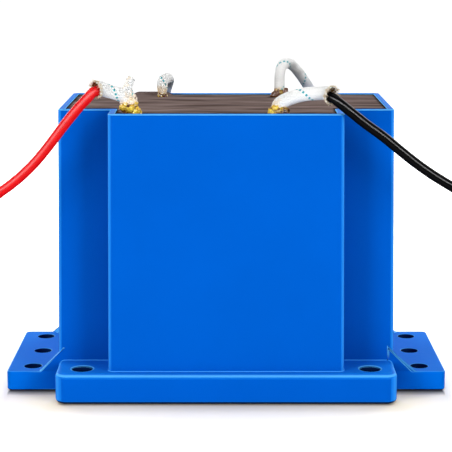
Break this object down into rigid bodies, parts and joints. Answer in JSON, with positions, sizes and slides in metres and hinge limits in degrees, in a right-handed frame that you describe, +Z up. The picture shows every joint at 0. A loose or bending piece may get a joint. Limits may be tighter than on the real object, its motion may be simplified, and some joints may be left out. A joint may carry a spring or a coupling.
{
  "type": "high voltage pulse transformer",
  "caption": "Potted transformer in a T-shaped blue moulded box with foot flange and ears, braided sleeves on its resin top and two flying leads.",
  "frame": {"origin": "on the surface the box stands on, at the middle of the main box and of the four corner ear holes", "axes": "+Z up through the box, +X along the long side from ear to ear, -Y the front with the flange and the bulge"},
  "size_m": [0.227, 0.0757, 0.0998],
  "materials": {
    "blue_moulding": "glossy moulded plastic",
    "potting_resin": "dark brown-grey cast resin, streaked",
    "varnish_bead": "amber set varnish",
    "braided_sleeve": "varnished glass braid with a teal tracer",
    "wire_end": "pale wire covering",
    "red_insulation": "smooth glossy insulation",
    "black_insulation": "smooth glossy insulation",
    "tie_plastic": "moulded strap",
    "tinned_copper": "bright solder tin"
  },
  "bodies": {
    "root": {"case": "blue_moulding", "resin_fill": "potting_resin", "front_left_bead": "varnish_bead", "front_right_bead": "varnish_bead", "rear_left_bead": "varnish_bead", "rear_right_bead": "varnish_bead", "front_left_sleeve": "braided_sleeve", "front_right_sleeve": "braided_sleeve", "rear_left_sleeve": "braided_sleeve", "rear_right_sleeve": "braided_sleeve", "rear_left_wire": "wire_end", "rear_right_wire": "wire_end", "red_lead": "red_insulation", "red_lead_coil": "red_insulation", "red_lead_tie": "tie_plastic", "red_lead_tip": "tinned_copper", "black_lead": "black_insulation", "black_lead_coil": "black_insulation", "black_lead_tie": "tie_plastic", "black_lead_tip": "tinned_copper"}
  },
  "joints": []
}
